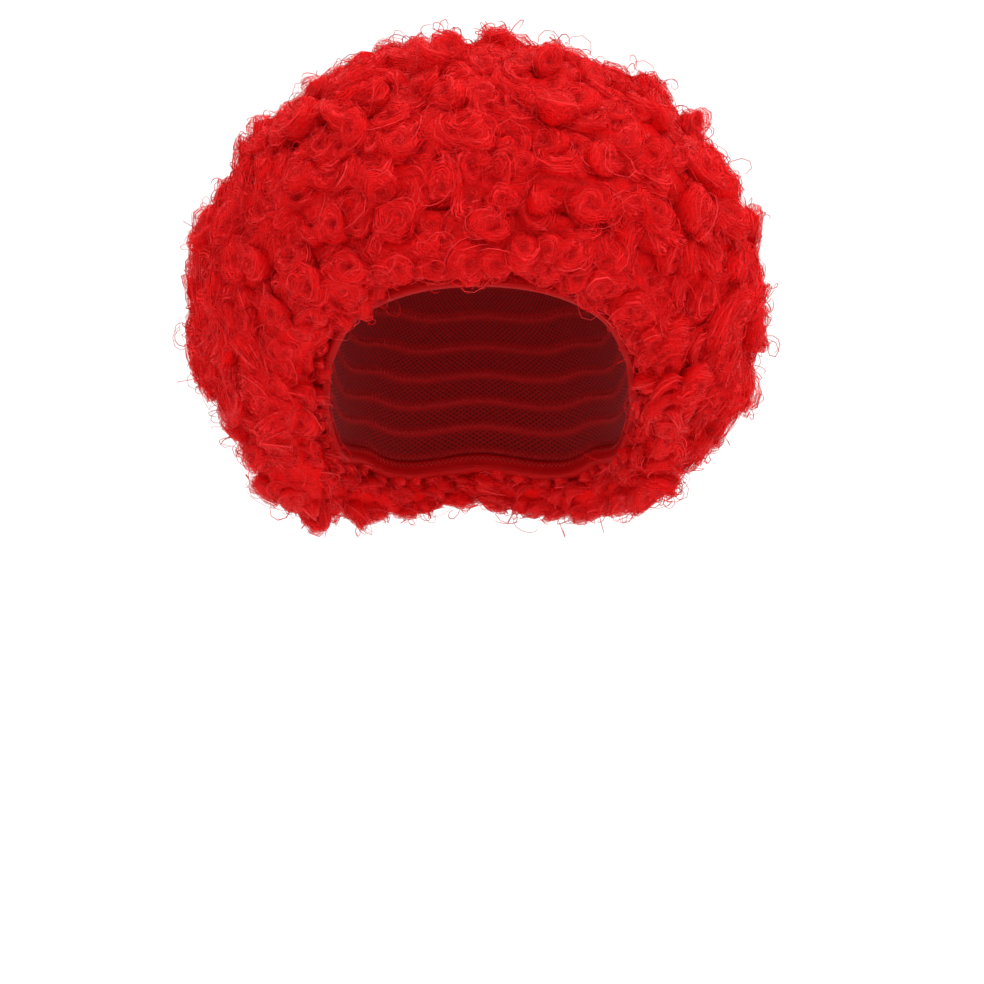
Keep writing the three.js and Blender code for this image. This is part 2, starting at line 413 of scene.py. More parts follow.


# the hair's colour: its stops along the curl, with their painted light and painted sheen, times one plus the
# tint of its variant and the wound fibres, which are raised too
def curlyFibre():
    shader = Shader("curly red fibre")
    around, across, _ = shader.split(shader.uv())
    turns = around * hairFinish["variants"]
    which = shader.maths("FLOOR", turns)
    spot = noiseSpot(shader, turns, which, across, hairFinish["wanderPace"])
    wander = shader.noise(spot, hairFinish["wanderScale"])
    streak = 0
    for count, wound, push, strength in hairFinish["fibres"]:
        broken = shader.noise(spot, hairFinish["breakScale"] + hairFinish["breakEach"] * count)
        streak = woundFibre(shader, across, turns, count, wound, wander * push) * broken * strength + streak
    tint = shader.node("ShaderNodeTexWhiteNoise", {"noise_dimensions": "1D"}, {"W": which + 0.5})
    level = 1 + (tint - 0.5) * hairFinish["tintSwing"] + streak * hairFinish["fibreDepth"]
    bodies = shader.maths("LESS_THAN", across, hairFinish["split"])
    return shader.finish({
        "Base Color": shader.levelled(shader.ramp(hairFinish["stops"], across), level),
        "Roughness": hairFinish["roughness"], "Specular IOR Level": hairFinish["gloss"],
        "Normal": shader.bump(streak * bodies, hairFinish["reliefShare"], hairFinish["relief"]),
    })


fibre = curlyFibre()

# curls: soft rosettes that stand out along the way the hair grows, wound about with wisps and loose strands
curlShape = {
    "seed": 5, "rowPitch": 10.9, "area": 149, "hemPitch": 11.5,  # spacing of the rings, room of a curl
    "wander": (0.34, 0.45),  # how far a curl strays along its ring and across it
    "radius": (5.9, 10.0), "radiusPower": 1.4, "hemRadius": 9.8,  # most are small, none is large at the hem
    "depth": (12, 15), "underDepth": 10, "dish": (0.2, 0.9),
    "stretch": (1.0, 1.18), "sideStretch": 0.2,  # long way over wide way, and what the sides add
    "sideHang": 2.0, "sideCalm": 0.6,  # how much the long way hangs down at the sides
    "tilt": 0.264, "weight": 0.2,  # lean of a curl at random and under its own weight
    "proud": (-5.2, 0.7), "largeProud": 0.2,  # how far a curl stands out past the locks, more if it is large
    "tufts": 9.0, "tuftDip": -0.3, "tuftSize": 7.5, "tuftPhase": (0.4, 1.1, 2.3),  # and what its tuft adds
    "profile": [0, 0.22, 0.44, 0.6, 0.74, 0.87, 1],  # places along the section, from root to middle
    "reach": [0.6, 0.94, 1.0, 0.86, 0.57, 0.26, 0],  # its radius there
    "rise": [-1, -0.64, -0.33, -0.1, 0, -0.18, -0.5],  # its height there: depth up to the crest, then dish
    "crest": 4,  # which place is the crest
    "rings": 5, "sides": 8, "core": 0.1,  # grid of a body, and how far it lies under the section
    "spiral": 0.16, "spiralTurns": 2, "lumps": 0.14, "lumpsAround": 3, "lumpsAlong": 5,
    "skirt": [0.3, 0.6], "hemRoom": 5.5,  # rings of curls under the last weft
    "turnUnder": 14, "turnShare": 0.7, "rootRoom": 0.75,  # they turn down, and stay clear of the cap
    "overhang": (4, 6.5), "sideOverhang": 4,  # how far they hang out over the band
}
# the tints of wisps and strands fall in the pinkish top stops of the hair, a painted sheen
wispShape = {
    "count": 1, "steps": 8, "turns": (0.3, 0.7), "halfWidth": (0.2, 0.42), "flat": 0.2, "lift": (0.6, 1.8),
    "start": (0.4, 0.7), "run": (-0.15, 0.15), "loose": 2.0, "tint": (0.75, 0.88), "tintWidth": 0.08,
}
strandShape = {
    "count": 2, "steps": 8, "turns": (0.3, 0.75), "halfWidth": (0.09, 0.18), "flat": 1.0, "lift": (0.8, 2.8),
    "start": (0.2, 0.72), "run": (-0.2, 0.2), "loose": 4.0, "tint": (0.78, 0.985), "tintWidth": 0.01,
}
windingShape = {"sides": 3, "looseRare": 6, "drift": 0.5, "heart": 0.7, "blunt": 0.45}  # for both of these


# places of a weft's curls: rings between its edges, spaced evenly by length along each ring and then strayed
def curlPlaces(row, random):
    start, end = weftStarts[row], weftEnds[row]
    full = np.ones_like(roundTurn)
    length = lambda share: hairLength(full * share, roundTurn)
    rim = lambda share, below: hairPoint(full * share, roundTurn, length(share) - below)
    height = np.linalg.norm(rim(end, 0) - rim(start, 0), axis=1).mean()
    count = max(1, round(height / curlShape["rowPitch"]))
    pitch = curlShape["area"] / (height / count)
    rings = [(start + (end - start) * (ring + 0.5) / count, 0 * full) for ring in range(count)]
    if row == lastWeft:
        rings += [(1, length(1) * part) for part in curlShape["skirt"]]
        rings += [(1, length(1) - curlShape["hemRoom"])]
    shares, azimuths, unders = [], [], []
    for ring, (share, below) in enumerate(rings):
        run = runLength(rim(share, below))
        around = max(1, round(run[-1] / (pitch if share < 1 else curlShape["hemPitch"])))
        stray = random.uniform(-1, 1, (2, around)) * np.array(curlShape["wander"])[:, None]
        at = (np.arange(around) + 0.5 * (ring % 2) + stray[0]) / around % 1
        azimuths.append(np.interp(at * run[-1], run, roundTurn))
        shares.append(share + stray[1] * (end - start) / count * (share < 1))
        unders.append(np.interp(azimuths[-1], roundTurn, below))
    return np.clip(np.concatenate(shares), 0, 1), np.concatenate(azimuths), np.concatenate(unders)


# each curl of a weft: where its tip is, its axes, and its own sizes drawn at random between the limits
def drawCurls(row, random):
    share, azimuth, under = curlPlaces(row, random)
    count = len(share)
    between = lambda pair: random.uniform(*pair, count)
    grow = unit(growWay(share, azimuth))
    hem = direction(weftAngle(share, azimuth) + 90, azimuth)
    turned = ease(under / curlShape["turnUnder"])[:, None]
    axis = unit(grow * (1 - curlShape["turnShare"] * turned) + hem * turned)
    drop = np.array([0, 0, -curlShape["weight"]])
    axis = unit(axis + random.normal(0, curlShape["tilt"], (count, 3)) + drop * (1 - turned))
    length = hairLength(share, azimuth)
    tip = hairPoint(share, azimuth, length - under)
    tuft = np.prod(np.sin(tip / curlShape["tuftSize"] + np.array(curlShape["tuftPhase"])), axis=1)
    tuft = np.maximum(tuft, curlShape["tuftDip"])
    low, high = curlShape["radius"]
    radius = low + (high - low) * random.uniform(0, 1, count) ** curlShape["radiusPower"]
    proud = between(curlShape["proud"]) + curlShape["tufts"] * tuft
    proud = proud + curlShape["largeProud"] * (radius - low)
    tip = tip + grow * (proud * (under == 0))[:, None]
    overhang = between(curlShape["overhang"]) + curlShape["sideOverhang"] * sideShare(azimuth)
    tip = tip + hem * (overhang * (under > 0))[:, None]
    side = np.abs(grow[:, :1]) ** 2
    hang = np.array([0, 0, curlShape["sideHang"]]) * side
    hang = hang + random.normal(0, 1, (count, 3)) * (1 - curlShape["sideCalm"] * side)
    second = unit(np.cross(axis, hang))
    widest = curlShape["hemRadius"] if row == lastWeft else high
    room = np.where(under > 0, np.maximum(length - under, 0) * curlShape["rootRoom"], widest)
    return {
        "count": count, "under": under, "tip": tip,
        "axis": axis, "first": np.cross(second, axis), "second": second,
        "radius": np.minimum(radius, np.minimum(room, widest)),
        "dish": between(curlShape["dish"]),
        "depth": np.where(under > 0, curlShape["underDepth"], between(curlShape["depth"])),
        "stretch": between(curlShape["stretch"]) + curlShape["sideStretch"] * side[:, 0],
        "hand": random.choice([-1.0, 1.0], count),
        "phase": between((0, fullTurn)),
        "variant": random.integers(0, hairFinish["variants"], count),
    }


# some of the curls, by a mask or by their numbers
def pickCurls(curls, which):
    picked = {key: value[which] for key, value in curls.items() if key != "count"}
    return {"count": len(picked["tip"]), **picked}


# a point on a curl: round its axis by the turn, out and up by its section there, with a spiral and lumps
def curlPoint(curls, turn, along, lift):
    shape = (-1,) + (1,) * (turn.ndim - 1)
    pick = lambda key: curls[key].reshape(shape)
    spread = lambda key: curls[key].reshape(shape + (3,))
    radius, phase, stretch = pick("radius"), pick("phase"), pick("stretch")
    height = np.interp(along, curlShape["profile"], curlShape["rise"])
    reach = np.interp(along, curlShape["profile"], curlShape["reach"])
    inner = along > curlShape["profile"][curlShape["crest"]]
    rise = np.where(inner, height * 2 * radius * pick("dish"), height * pick("depth"))
    coil = np.sin(pick("hand") * turn - fullTurn * curlShape["spiralTurns"] * along + phase)
    lump = np.sin(curlShape["lumpsAround"] * turn + 2 * phase)
    lump = lump * np.sin(curlShape["lumpsAlong"] * along + phase)
    reach = reach * (1 + curlShape["spiral"] * coil + curlShape["lumps"] * lump)
    rise = rise + curlShape["spiral"] * radius * coil * reach
    swollen = reach * radius * (1 + lift / radius)
    across = (swollen * np.cos(turn) * stretch)[..., None]
    beside = (swollen * np.sin(turn) / stretch)[..., None]
    risen = spread("tip") + spread("axis") * (rise + lift)[..., None]
    return risen + spread("first") * across + spread("second") * beside


# a grid over each curl: rings along its section by sides round its axis
def curlGrid(count, rings, sides):
    along = np.linspace(0, 1, rings + 2)[1:-1]
    turn = np.linspace(0, fullTurn, sides, endpoint=False)
    return [np.broadcast_to(grid, (count, rings, sides)) for grid in np.meshgrid(along, turn, indexing="ij")]


# the poles of each curl: halfway between two points of its root, and its middle risen by the lift
def curlPoles(curls, lift):
    still = np.zeros((curls["count"], 1))
    root = curlPoint(curls, still + np.array([0, np.pi]), still + np.zeros(2), still + np.zeros(2))
    return root.mean(1, keepdims=True), curlPoint(curls, still, still + 1, still + lift)


# the bodies of the curls: the whole section of each turned round its axis
def curlBodies(curls):
    count, rings, sides = curls["count"], curlShape["rings"], curlShape["sides"]
    along, turn = curlGrid(count, rings, sides)
    inward = -curlShape["core"] * curls["radius"][:, None, None] + 0 * turn
    root, middle = curlPoles(curls, 0)
    points = np.concatenate([root, curlPoint(curls, turn, along, inward).reshape(count, -1, 3), middle], 1)
    uvScale = np.array([1 / hairFinish["variants"], hairFinish["split"] * hairFinish["splitClear"]])
    uvShift = np.stack([curls["variant"] / hairFinish["variants"], np.zeros(count)], -1)
    return shells(points, rings, sides, uvScale, uvShift)


# veils: fine loose fibres wound round each curl, cut out of thin shells that stand off its body
veilShape = {
    "layers": [(0.1, 0.5, 0, 5, 8), (1.4, 1.2, 1, 6, 11)],  # lift, wave, if sparse, rings and sides of each
    "waves": ((1, 5), (2, 6)), "waveStep": 2,  # the wave's turns round and along, and from shell to shell
    "variantStep": 3,
    "fibres": [(22, 2, 18, 0.4), (35, -3, 26, 0.5), (9, 6, 17, 0.8)],  # fibres across, turns, wander and cut
    "wanderScale": 0.9, "wanderPace": 6,
    "soft": 0.42, "dense": 0.9, "sparse": 0.2,  # edges of a fibre, cover, and cut of the sparse shell
    "half": 0.49, "sparseV": 0.5, "sparseShift": 0.505,  # V of each shell, and where the sparse one's begins
    "hemShare": 0.3,  # how far the shells stand off at the hem
    # painted light: lighter towards the roots, where the curls shade each other, darker towards the middle of
    # a curl
    "stops": [
        (0.0, (0.88, 0.0024, 0.0031)), (0.3, (0.83, 0.0043, 0.0053)), (0.75, (0.78, 0.0060, 0.0072)),
        (1.0, (0.55, 0.0018, 0.0023)),
    ],
    # painted sheen: the pale pinkish tint laid on the sparse shell's fibres, and how much of it
    "pale": (0.81, 0.0260, 0.0320), "paintedSheenShare": 0.85,  # tint of the last fibres on the sparse shell
    "tintSwing": 0.28, "roughness": 0.6, "gloss": 0.07, "fade": 2.2,
}


# a fibre of the veil: where the sine of its place across the curl and its turns about it is above the cut
def curlyVeil():
    shader = Shader("curly red veil")
    around, along, _ = shader.split(shader.uv())
    sparse = shader.maths("GREATER_THAN", along, veilShape["sparseV"])
    across = (along - sparse * veilShape["sparseV"]) * (1 / veilShape["half"])
    turns = around * hairFinish["variants"]
    spot = noiseSpot(shader, turns, shader.maths("FLOOR", turns), across, veilShape["wanderPace"])
    wander = shader.split(shader.noise(spot, veilShape["wanderScale"], out=1))
    cover = 0
    for number, (count, wound, push, cut) in enumerate(veilShape["fibres"]):
        wave = woundFibre(shader, across, turns, count, wound, wander[number] * push)
        thin = wave - (wander[number - 1] - 0.5) * veilShape["fade"] - sparse * veilShape["sparse"]
        edge = 1 - shader.step(cut, veilShape["soft"], thin)
        cover = shader.maths("MAXIMUM", cover, edge * veilShape["dense"])
    # the veil's colour: its stops with their painted light, and the pale tint of painted sheen on the sparse
    # shell
    inner = shader.ramp(veilShape["stops"], across)
    base = shader.mix(edge * sparse * veilShape["paintedSheenShare"], inner, (*veilShape["pale"], 1))
    level = 1 + (wander[2] - 0.5) * (2 * veilShape["tintSwing"])
    return shader.finish({
        "Base Color": shader.levelled(base, level), "Roughness": veilShape["roughness"],
        "Specular IOR Level": veilShape["gloss"], "Alpha": cover,
    })


veil = curlyVeil()


# a veil: the curl's own section turned round its axis, standing off by its lift and a slow wave
def curlVeils(curls):
    count, variants = curls["count"], hairFinish["variants"]
    phase = curls["phase"][:, None, None]
    share = np.where(curls["under"] > 0, veilShape["hemShare"], 1)[:, None, None]
    (aroundOnce, alongOnce), (aroundTwice, alongTwice) = veilShape["waves"]
    parts = []
    for layer, (lift, wave, sparse, rings, sides) in enumerate(veilShape["layers"]):
        along, turn = curlGrid(count, rings, sides)
        swing = np.sin(aroundOnce * turn + phase + alongOnce * along + veilShape["waveStep"] * layer)
        swing = swing * np.sin(aroundTwice * turn - 2 * phase + alongTwice * along)
        off = lift * share + wave * share * swing
        root, middle = curlPoles(curls, off[:, -1].mean(1, keepdims=True))
        points = np.concatenate([root, curlPoint(curls, turn, along, off).reshape(count, -1, 3), middle], 1)
        variant = (curls["variant"] + veilShape["variantStep"] * layer + 1) % variants
        uvShift = np.stack([variant / variants, np.full(count, veilShape["sparseShift"] * sparse)], -1)
        parts.append(shells(points, rings, sides, np.array([1 / variants, veilShape["half"]]), uvShift))
    return parts


# thickness along a strand: the sine of half a turn along it, to a power that blunts its ends
def taper(steps, blunt):
    share = np.linspace(0, 1, steps)
    return np.clip(np.sin(np.pi * share), 0, 1) ** blunt


# wisps and loose strands: each winds over its curl from one place on the section to another, lifting off it
def windings(curls, shape, random):
    count, each, steps = curls["count"], shape["count"], shape["steps"]
    draw = lambda pair: random.uniform(*pair, (count, each, 1))
    share = np.linspace(0, 1, steps)
    start = draw(shape["start"])
    along = start + draw(shape["run"]) * share
    turn = draw((0, fullTurn)) + curls["hand"][:, None, None] * fullTurn * draw(shape["turns"]) * share
    loose = draw((0, 1)) ** windingShape["looseRare"] * shape["loose"]
    lift = draw(shape["lift"]) + loose * np.sin(np.pi * share)
    lift = lift + random.normal(0, windingShape["drift"], (count, each, 1)) * share
    path = curlPoint(curls, turn, along, lift)
    heart = curls["tip"] - curls["axis"] * (windingShape["heart"] * curls["radius"])[:, None]
    facing = unit(path - heart[:, None, None]).reshape(-1, steps, 3)
    wide = draw(shape["halfWidth"]).reshape(-1, 1) * taper(steps, windingShape["blunt"])
    thick = wide * shape["flat"]
    tint = draw(shape["tint"]).ravel()
    paths = path.reshape(-1, steps, 3)
    return strands(paths, facing, wide, thick, windingShape["sides"], tint, shape["tintWidth"])


# frizz: fine springy hairs that leave the curls and loop round as they rise
frizzShape = {
    "each": 6, "steps": 9, "sides": 3, "radius": (0.17, 0.28), "blunt": 0.4,
    "along": (0.35, 0.75), "sunk": -0.4, "heart": 1.2,  # its root on the curl, and how far back it points from
    "reach": (-0.3, 4.0), "drift": (-3, 3), "loop": (1.4, 3.2), "turns": (0.6, 1.25), "start": (-1.3, 0.5),
    "stray": 0.12, "strayScale": 2.0,  # a few stray hairs are longer
    "tint": (0.69, 0.745), "tintWidth": 0.01,
}


# a springy hair: out from the curl by its reach, round in a loop along the way out, drifting sideways
def frizz(curls, random):
    steps = frizzShape["steps"]
    some = pickCurls(curls, np.repeat(np.arange(curls["count"]), frizzShape["each"]))
    count = some["count"]
    draw = lambda pair: random.uniform(*pair, (count, 1, 1))
    along = random.uniform(*frizzShape["along"], (count, 1))
    turn = random.uniform(0, fullTurn, (count, 1))
    root = curlPoint(some, turn, along, np.full_like(turn, frizzShape["sunk"]))
    heart = some["tip"] - some["axis"] * some["radius"][:, None] * frizzShape["heart"]
    outward = unit(root - heart[:, None])
    aside = unit(np.cross(outward, random.normal(0, 1, (count, 1, 3))))
    beside = np.cross(outward, aside)
    share = np.linspace(0, 1, steps)[:, None]
    start = draw(frizzShape["start"])
    angle = start + draw(frizzShape["turns"]) * fullTurn * share
    scale = np.where(draw((0, 1)) < frizzShape["stray"], frizzShape["strayScale"], 1)
    loop = draw(frizzShape["loop"]) * scale
    lay = draw((0, np.pi / 2))
    ring = loop * (np.cos(start) - np.cos(angle))
    rise = draw(frizzShape["reach"]) * scale * share + ring * np.cos(lay)
    drift = draw(frizzShape["drift"]) * share + ring * np.sin(lay)
    path = root + outward * rise + aside * loop * (np.sin(angle) - np.sin(start)) + beside * drift
    thick = random.uniform(*frizzShape["radius"], (count, 1)) * taper(steps, frizzShape["blunt"])
    tint = random.uniform(*frizzShape["tint"], count)
    facing = unit(beside * np.cos(lay) - outward * np.sin(lay))
    return strands(path, facing, thick, thick, frizzShape["sides"], tint, frizzShape["tintWidth"])


# the bed under the curls: dense hair from the cap to below the curls' tips, lumpy on top
bedShape = {
    "under": (5.8, 4.3), "columns": 96, "lift": 0.6, "inset": 0.497,
    "lump": 2.0, "lumpWaves": ((17, 60), (29, 43)),  # height of the lumps, and their waves round and along
    # painted light: the bed takes the light stops near the roots, which lift the shade between the curls
    "fibreV": ((0.03, 0.25), (0.02, 0.46)),  # V of the bed and of its veil
    "belly": (0.018, 0.03), "bellyFrom": 0.9,  # how far it bulges under the last weft, more at the sides
    "across": [-1, -1, -0.96, -0.8, -0.4, 0, 0.4, 0.8, 0.96, 1, 1, 1, 1, 0.5, 0, -0.5],
    "out": [0, 0.5, 0.86, 0.97, 1, 1, 1, 0.97, 0.86, 0.7, 0.4, 0.15, 0, 0, 0, 0],
}


# a weft's bed: a closed section from its upper root over the top to its lower root, carried round the cap
def weftBed(row, layer):
    across, out = np.array(bedShape["across"]), np.array(bedShape["out"])
    start, end = weftStarts[row], weftEnds[row]
    share = (start + end) / 2 + across * (end - start) * bedShape["inset"]
    azimuth = np.linspace(0, 360, bedShape["columns"], endpoint=False)
    share, azimuth = np.meshgrid(share, azimuth, indexing="ij")
    if row == lastWeft:
        low, more = bedShape["belly"]
        lower = np.sin(np.pi * out) * (across > bedShape["bellyFrom"])
        share = share + (low + more * sideShare(azimuth)) * lower[:, None]
    (around, along), (aroundMore, alongMore) = bedShape["lumpWaves"]
    lump = np.sin(np.radians(azimuth * around) + along * share)
    lump = lump * np.cos(np.radians(azimuth * aroundMore) - alongMore * share + row)
    length = hairLength(share, azimuth) - bedShape["under"][layer] + bedShape["lump"] * lump
    points = hairPoint(share, azimuth, bedShape["lift"] + (length - bedShape["lift"]) * out[:, None])
    quads, uv = gridFaces(*share.shape, True)
    low, high = bedShape["fibreV"][layer]
    column, level = uv[..., 0] * bedShape["columns"], np.round(uv[..., 1] * len(across))
    first = column[:, :1]
    tile = (column - first + np.round(first) % hairFinish["variants"]) / hairFinish["variants"]
    return closedGrid(points, quads, np.stack([tile, low + (high - low) * (level % 2)], -1))


# two meshes of curls: their bed, bodies, wisps, loose strands and frizz, and the veils over them
def addCurls(name, curls, beds, random):
    print(name, curls["count"], "curls")
    wound = [windings(curls, shape, random) for shape in (wispShape, strandShape)]
    hair = addParts(name, beds[:1] + [curlBodies(curls)] + wound + [frizz(curls, random)], fibre)
    return [hair, addParts(name + "_veil", beds[1:] + curlVeils(curls), veil)]


for row, node in enumerate(weftTable["node"]):
    beds = [weftBed(row, layer) for layer in (0, 1)]
    random = np.random.default_rng([curlShape["seed"], row])
    curls = drawCurls(row, random)
    pieces = addCurls(f"hair_{node}", pickCurls(curls, curls["under"] == 0), beds, random)
    if curls["under"].any():
        pieces += addCurls(f"under_{node}", pickCurls(curls, curls["under"] > 0), [], random)
    for piece in pieces:
        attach(piece, "root")
        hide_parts(node)

# cap: a thin stretch net, with a taped seam inside along the edge of every weft
capShape = {
    "sides": 96, "innerRows": 72, "edgeRows": 6, "outerRows": 20,
    # V at the last weft, at the edge, round it and where the outside begins
    "innerV": 0.72, "edgeV": 0.8, "turnV": (0.803, 0.806), "outerV": 0.81,
    "edgeBow": 0.4, "edgeLevels": (0.33, 0.67),  # how far the edge is rounded out, and where in the wall
    "length": 150,  # about how far it is from the crown to the edge
    "tape": 0.5, "tapeWidth": 1.9,  # how far a seam's tape stands in, and its half width
    "net": (168, 84), "netThread": 0.36, "netSoft": 0.126, "seamV": 0.011, "seamSoft": 0.0088,
    "thread": ((0.204, 0.00132, 0.00204), (0.34, 0.0022, 0.0034)),  # dark and pale shades of the threads
    "tapeTint": ((0.28, 0.0021, 0.00294), (0.40, 0.0030, 0.0042)),  # and of the tapes
    # painted shade: the dark red of the gaps in the net, standing for the shaded hair behind it
    "holeShade": (0.085, 0.0006, 0.0009),
    "fuzzScale": (420, 260, 1), "fuzzDetail": 3.0, "tapeRise": (0.8, 0.4), "roughness": (0.78, 0.15),
    "gloss": 0.12, "sheen": 0.15, "sheenTint": (1, 0.25, 0.25, 1), "reliefShare": 0.7, "relief": 0.5,
}


# a fuzzy shade: from the dark of a pair to its pale by the fuzz
def fuzzyShade(shader, fuzz, pair):
    dark, pale = ((*shade, 1) for shade in pair)
    return shader.mix(fuzz, dark, pale)


# stretch net: crossed waves of U and V make diamond gaps between threads, painted dark as hair in shade
# seen through them, with tapes at the wefts' edges
def stretchNet():
    shader = Shader("red stretch net")
    around, along, _ = shader.split(shader.uv())
    count, rows = capShape["net"]
    leftward = shader.maths("SINE", (around * count + along * rows) * np.pi)
    rightward = shader.maths("SINE", (around * count - along * rows) * np.pi)
    crossed = shader.maths("MINIMUM", leftward * leftward, rightward * rightward)
    net = shader.step(capShape["netThread"], capShape["netSoft"], crossed)
    tape = 0
    for share in weftEnds:
        away = shader.maths("ABSOLUTE", along - share * capShape["innerV"])
        tape = shader.step(capShape["seamV"], capShape["seamSoft"], away) + tape
    tape = shader.node("ShaderNodeClamp", {}, {0: tape})
    fuzz = shader.noise(shader.scaled(shader.uv(), capShape["fuzzScale"]), 1.0, capShape["fuzzDetail"])
    weave = shader.mix(net, (*capShape["holeShade"], 1), fuzzyShade(shader, fuzz, capShape["thread"]))
    taped = fuzzyShade(shader, fuzz, capShape["tapeTint"])
    low, more = capShape["tapeRise"]
    height = net * (1 - tape) + tape * (low + fuzz * more)
    rough, rougher = capShape["roughness"]
    return shader.finish({
        "Base Color": shader.mix(tape, weave, taped), "Roughness": rough + fuzz * rougher,
        "Specular IOR Level": capShape["gloss"],
        "Sheen Weight": capShape["sheen"], "Sheen Tint": capShape["sheenTint"],
        "Normal": shader.bump(height, capShape["reliefShare"], capShape["relief"]),
    })


# the cap's wall: down the inside from the crown, round the edge and up the outside, turned about its axis
def capWall(material):
    wall = hollowForm["capWall"]
    azimuth = np.linspace(0, 360, capShape["sides"], endpoint=False)[None]
    hem, last = hemValue(azimuth, "angle"), weftAngle(np.ones_like(azimuth), azimuth)
    share = np.linspace(0, 1, capShape["innerRows"] + 1)[1:, None]
    edge = np.linspace(0, 1, capShape["edgeRows"] + 1)[1:, None]
    outer = np.linspace(1, 0, capShape["outerRows"] + 1)[:-1, None]
    level = np.array(capShape["edgeLevels"])[:, None] * wall
    apart = (share - weftEnds) * capShape["length"] / capShape["tapeWidth"]
    tape = capShape["tape"] * np.exp(-apart**2).sum(1)[:, None]
    bowed = hem + angleAlong(capShape["edgeBow"], azimuth) + 0 * level
    angle = np.concatenate([share * last, last + (hem - last) * edge, bowed, hem * outer])
    off = np.concatenate([-tape, 0 * edge, level, wall + 0 * outer]) + 0 * angle
    rings = offHollow(angle, azimuth + 0 * angle, off)
    poles = [offHollow(np.zeros(1), np.zeros(1), np.array([depth])) for depth in (0.0, wall)]
    points = np.concatenate([poles[0], rings.reshape(-1, 3), poles[1]])[None]
    part = shells(points, len(angle), capShape["sides"], np.ones(2), np.zeros((1, 2)))
    innerV, edgeV, outerV = capShape["innerV"], capShape["edgeV"], capShape["outerV"]
    alongEdge = innerV + edge[:, 0] * (edgeV - innerV)
    alongOuter = outerV + (1 - outerV) * (1 - outer[:, 0])
    placed = np.concatenate([[0], share[:, 0] * innerV, alongEdge, capShape["turnV"], alongOuter, [1]])
    steps = np.linspace(0, 1, len(placed))
    for kind in ("quadUv", "capUv"):
        part[kind][..., 1] = np.interp(part[kind][..., 1], steps, placed)
    return addParts("cap_net", [part], material)


# a thread closed on itself: a round section carried along a closed path, facing out of the cap
def closedThread(path, facing, radius, sides):
    tangent = unit(np.roll(path, -1, 0) - np.roll(path, 1, 0))
    side = unit(np.cross(tangent, facing))
    up = np.cross(side, tangent)
    turn = fullTurn * np.arange(sides) / sides
    section = np.cos(turn)[:, None] * side[:, None] + np.sin(turn)[:, None] * up[:, None]
    quads, uv = gridFaces(len(path), sides, True)
    return closedGrid(path[:, None] + radius * section, quads, uv)


# sewing: zigzag rows inside the cap along the wefts, and on both sides of the band
sewing = {
    "shades": ((0.30, 0.002, 0.003), (0.62, 0.008, 0.010)), "twists": 900,
    "roughness": (0.45, 0.15), "gloss": 0.3, "reliefShare": 0.5, "relief": 0.15,
    "radius": 0.24, "sides": 4, "stitch": 2.6, "swing": 1.0,
    "weftOff": -0.75, "hemOff": (-1.75, 3.4), "hemAlong": -4.4,  # off the hollow, and past the cap's edge
}


# sewing thread: from the dark shade to the pale by the sine of the twists along the thread and round it
def sewingThread():
    shader = Shader("red sewing thread")
    around, along, _ = shader.split(shader.uv())
    twist = shader.ripple(along * sewing["twists"] + around)
    rough, rougher = sewing["roughness"]
    return shader.finish({
        "Base Color": fuzzyShade(shader, twist, sewing["shades"]), "Roughness": rough + twist * rougher,
        "Specular IOR Level": sewing["gloss"],
        "Normal": shader.bump(twist, sewing["reliefShare"], sewing["relief"]),
    })


# a zigzag seam: round the cap at an angle, swung up and down by turns, at a distance off the hollow
def zigzagSeam(angleAt, off):
    length = runLength(offHollow(angleAt(roundTurn), roundTurn, np.full_like(roundTurn, off)))
    count = 2 * round(length[-1] / sewing["stitch"])
    azimuth = np.interp(np.arange(count) / count * length[-1], length, roundTurn)
    swing = np.where(np.arange(count) % 2, 1, -1) * sewing["swing"]
    angle = angleAt(azimuth) + angleAlong(swing, azimuth)
    path = offHollow(angle, azimuth, np.full(count, off))
    return closedThread(path, direction(angle, azimuth), sewing["radius"], sewing["sides"])


# angle of a row of stitches along a weft's edge: the wefts' angle at the share of that edge
def weftRow(share):
    return lambda azimuth: weftAngle(np.full_like(azimuth, share), azimuth)


# angle of a row of stitches on the band: the hem's, and a short way along from it
def hemRow(azimuth):
    return hemValue(azimuth, "angle") + angleAlong(sewing["hemAlong"], azimuth)


# band: elastic binding folded over the cap's edge, a little gathered where it is sewn
bandShape = {
    "columns": 270, "gathers": 92, "gatherDepth": 0.16, "gatherSwell": (7, 1),  # they come and go round it
    "wallMiddle": 0.8, "outsideFrom": 2,  # off the hollow, and how far from there the outside begins
    "ribs": 18, "warp": 560, "deep": (0.25, 0.0007, 0.0010), "bright": (0.41, 0.0015, 0.002),
    "wornScale": (36, 6, 1), "wornDetail": 3.0,
    "level": (0.25, 0.2, 0.15, 0.5),  # shade to begin with, and what ribs, warp and wear add
    "roughness": (0.5, 0.2), "gloss": 0.06, "reliefShare": 0.35, "relief": 0.2,
    "section": [  # along the hollow past the cap's edge, and off it
        (-6.6, 3.2), (-5.2, 3.3), (-3.2, 3.25), (-1.2, 3.3), (0.4, 3.2), (1.2, 2.8), (1.6, 1.8), (1.6, -0.2),
        (1.2, -1.2), (0.4, -1.6), (-1.2, -1.65), (-3.2, -1.6), (-5.2, -1.65), (-6.6, -1.6), (-7.0, -1.0),
        (-6.6, -0.4), (-3.2, -0.4), (0.2, -0.4), (0.4, -0.2), (0.4, 1.8), (0.2, 2.0), (-3.2, 2.0),
        (-6.6, 2.0), (-7.0, 2.6),
    ],
}


